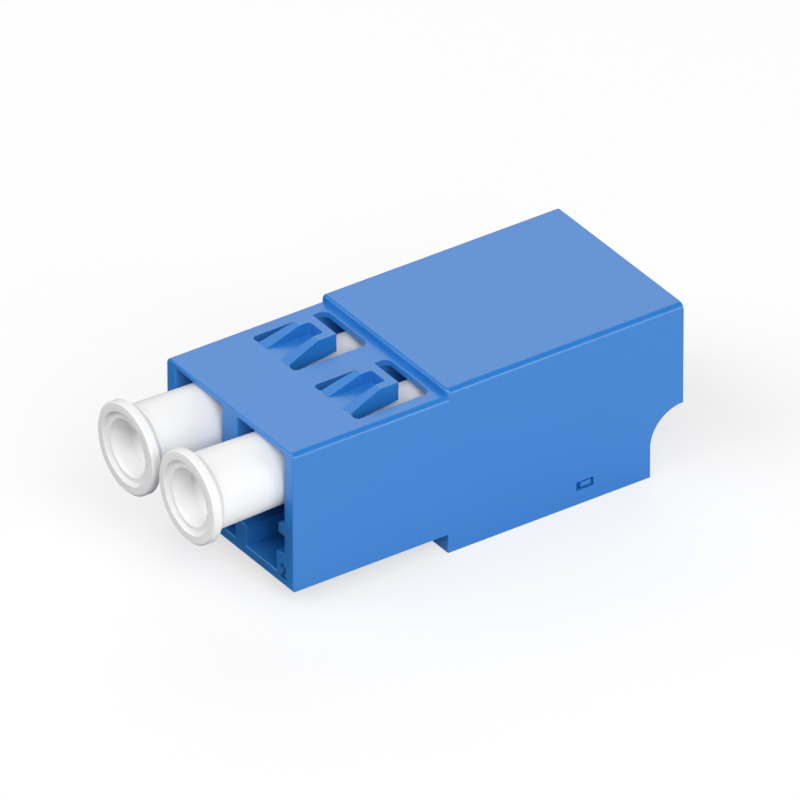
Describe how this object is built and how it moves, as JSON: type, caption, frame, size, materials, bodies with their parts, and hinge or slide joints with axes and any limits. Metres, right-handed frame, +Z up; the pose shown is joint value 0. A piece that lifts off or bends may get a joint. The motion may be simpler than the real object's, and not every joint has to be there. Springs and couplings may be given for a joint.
{
  "type": "fibre optic adapter",
  "caption": "Duplex fibre adapter: a moulded blue housing with sprung panel tongues, a snap-in rear insert, ceramic alignment sleeves and pull-off dust caps.",
  "frame": {"origin": "centre of the flat underside that the rear section rests on", "axes": "+X across the two ports to the right, +Y from the capped front ports to the open rear ports, +Z up"},
  "size_m": [0.0128, 0.0321, 0.0113],
  "materials": {
    "blue_moulding": "satin moulded",
    "zirconia": "polished",
    "white_cap": "soft satin"
  },
  "bodies": {
    "adapter": {"housing": "blue_moulding", "rear_insert": "blue_moulding", "sleeve_holder": "blue_moulding", "split_sleeve_left": "zirconia", "split_sleeve_right": "zirconia"},
    "cap_left": {"dust_cap_left": "white_cap"},
    "cap_right": {"dust_cap_right": "white_cap"}
  },
  "joints": [
    {"name": "cap_left_pull", "type": "slide", "parent": "adapter", "child": "cap_left", "axis": [0, -1, 0], "range_m": [0, 0.015]},
    {"name": "cap_right_pull", "type": "slide", "parent": "adapter", "child": "cap_right", "axis": [0, -1, 0], "range_m": [0, 0.015]}
  ]
}
